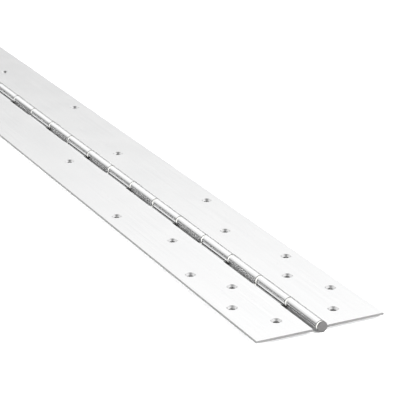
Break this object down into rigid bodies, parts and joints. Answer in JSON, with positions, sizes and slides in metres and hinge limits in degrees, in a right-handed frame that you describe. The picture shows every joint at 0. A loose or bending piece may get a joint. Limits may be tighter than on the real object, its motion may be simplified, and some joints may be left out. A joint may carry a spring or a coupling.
{
  "type": "piano hinge",
  "caption": "Continuous pin-and-barrel piano hinge: stainless leaves with staggered countersunk holes, rolled knuckles, white nylon bearings and disc pin caps.",
  "frame": {"origin": "at the lowest line of the barrel, under the pin axis, half way along the hinge; the leaves' backs are 2.0 mm above it", "axes": "+Y along the pin, +X across to the right leaf, +Z away from the leaves' backs, towards their countersunk front faces"},
  "size_m": [0.1174, 1.223, 0.0092],
  "materials": {
    "leaf_steel": "satin bright stainless sheet",
    "pin_steel": "drawn stainless rod",
    "cap_steel": "satin faced stainless disc",
    "nylon": "moulded natural white nylon"
  },
  "bodies": {
    "fixed_leaf": {"leaf_left": "leaf_steel", "hinge_pin": "pin_steel", "bearing_01": "nylon", "bearing_02": "nylon", "bearing_03": "nylon", "bearing_04": "nylon", "bearing_05": "nylon", "bearing_06": "nylon", "bearing_07": "nylon", "bearing_08": "nylon", "bearing_09": "nylon", "bearing_10": "nylon", "bearing_11": "nylon", "bearing_12": "nylon", "bearing_13": "nylon", "bearing_14": "nylon", "bearing_15": "nylon", "bearing_16": "nylon", "bearing_17": "nylon", "bearing_18": "nylon", "bearing_19": "nylon", "bearing_20": "nylon", "bearing_21": "nylon", "bearing_22": "nylon", "bearing_23": "nylon", "end_washer_near": "nylon", "end_washer_far": "nylon", "pin_cap_near": "cap_steel", "pin_cap_far": "cap_steel"},
    "swing_leaf": {"leaf_right": "leaf_steel"}
  },
  "joints": [
    {"name": "leaf_swing", "type": "hinge", "parent": "fixed_leaf", "child": "swing_leaf", "pos_m": [0, 0, 0.0046], "axis": [0, -1, 0], "range_deg": [0, 180]}
  ]
}
